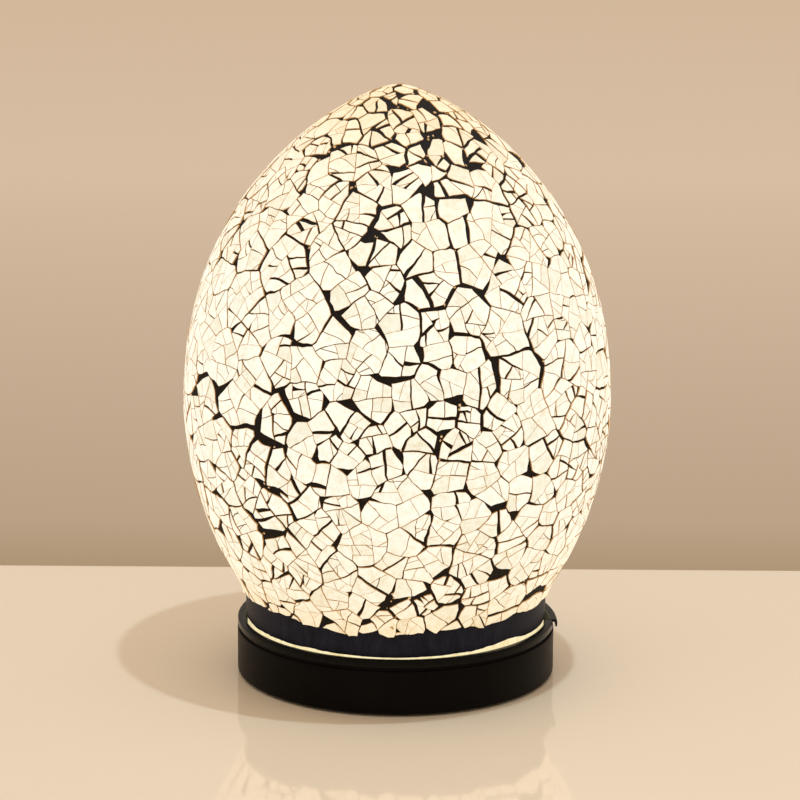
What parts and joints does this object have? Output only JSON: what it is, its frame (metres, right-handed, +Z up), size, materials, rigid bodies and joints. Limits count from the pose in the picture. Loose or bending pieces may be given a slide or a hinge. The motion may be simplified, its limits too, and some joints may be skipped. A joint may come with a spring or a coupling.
{
  "type": "mosaic glass table lamp",
  "caption": "Egg-shaped table lamp: a glass shade covered with cracked cream mosaic lifts off a low round black base that holds a screw bulb.",
  "frame": {"origin": "centre of the felt ring's underside, on the lamp's axis, where it stands on the table", "axes": "+Z up along the lamp's axis; -Y faces the viewer of the picture; the cord entry is at +Y and the edging strip's join near +X"},
  "size_m": [0.212, 0.212, 0.2975],
  "materials": {
    "satin_black": "satin",
    "black_rubber": "satin",
    "black_felt": "matte",
    "zinc_steel": "zinc plated",
    "brass": "plain",
    "white_ceramic": "glazed",
    "black_resin": "moulded",
    "shade_glass": "blown, lit from inside",
    "cream_shards": "cream shards in black grout",
    "navy_black_band": "brushed on",
    "frosted_glass": "frosted",
    "clear_glass": "clear",
    "bulb_aluminium": "spun",
    "solder": "dull",
    "tungsten": "dull"
  },
  "bodies": {
    "base": {"base_cup": "satin_black", "base_plate": "zinc_steel", "plate_screw_1": "zinc_steel", "plate_screw_2": "zinc_steel", "plate_screw_3": "zinc_steel", "felt_ring": "black_felt", "rim_strip": "black_rubber", "cord_grommet": "black_rubber", "seat_gasket": "black_rubber", "threaded_tube": "zinc_steel", "tube_washer": "zinc_steel", "tube_nut": "zinc_steel", "stem_spacer": "satin_black", "holder_cap": "black_resin", "holder_core": "white_ceramic", "terminal_screw_1": "brass", "terminal_screw_2": "brass", "holder_shell": "black_resin", "screw_sleeve": "brass", "centre_contact": "brass"},
    "shade": {"glass_shell": "shade_glass", "mosaic_skin": "cream_shards", "neck_band": "navy_black_band"},
    "bulb_foot": {"bulb_contact": "solder"},
    "bulb": {"bulb_insulator": "black_resin", "bulb_cap": "bulb_aluminium", "bulb_glass": "frosted_glass", "bulb_stem": "clear_glass", "lead_wire_1": "tungsten", "lead_wire_2": "tungsten", "filament": "tungsten"}
  },
  "joints": [
    {"name": "shade_lift", "type": "slide", "parent": "base", "child": "shade", "axis": [0, 0, 1], "range_m": [0, 0.17]},
    {"name": "bulb_rise", "type": "slide", "parent": "base", "child": "bulb_foot", "axis": [0, 0, 1], "range_m": [0, 0.0182]},
    {"name": "bulb_turn", "type": "hinge", "parent": "bulb_foot", "child": "bulb", "pos_m": [0, 0, 0.0624], "axis": [0, 0, 1], "range_deg": [0, 1800]}
  ],
  "couplings": [
    {"joint": "bulb_rise", "follows": "bulb_turn", "m_per_rad": 0.00057757}
  ]
}
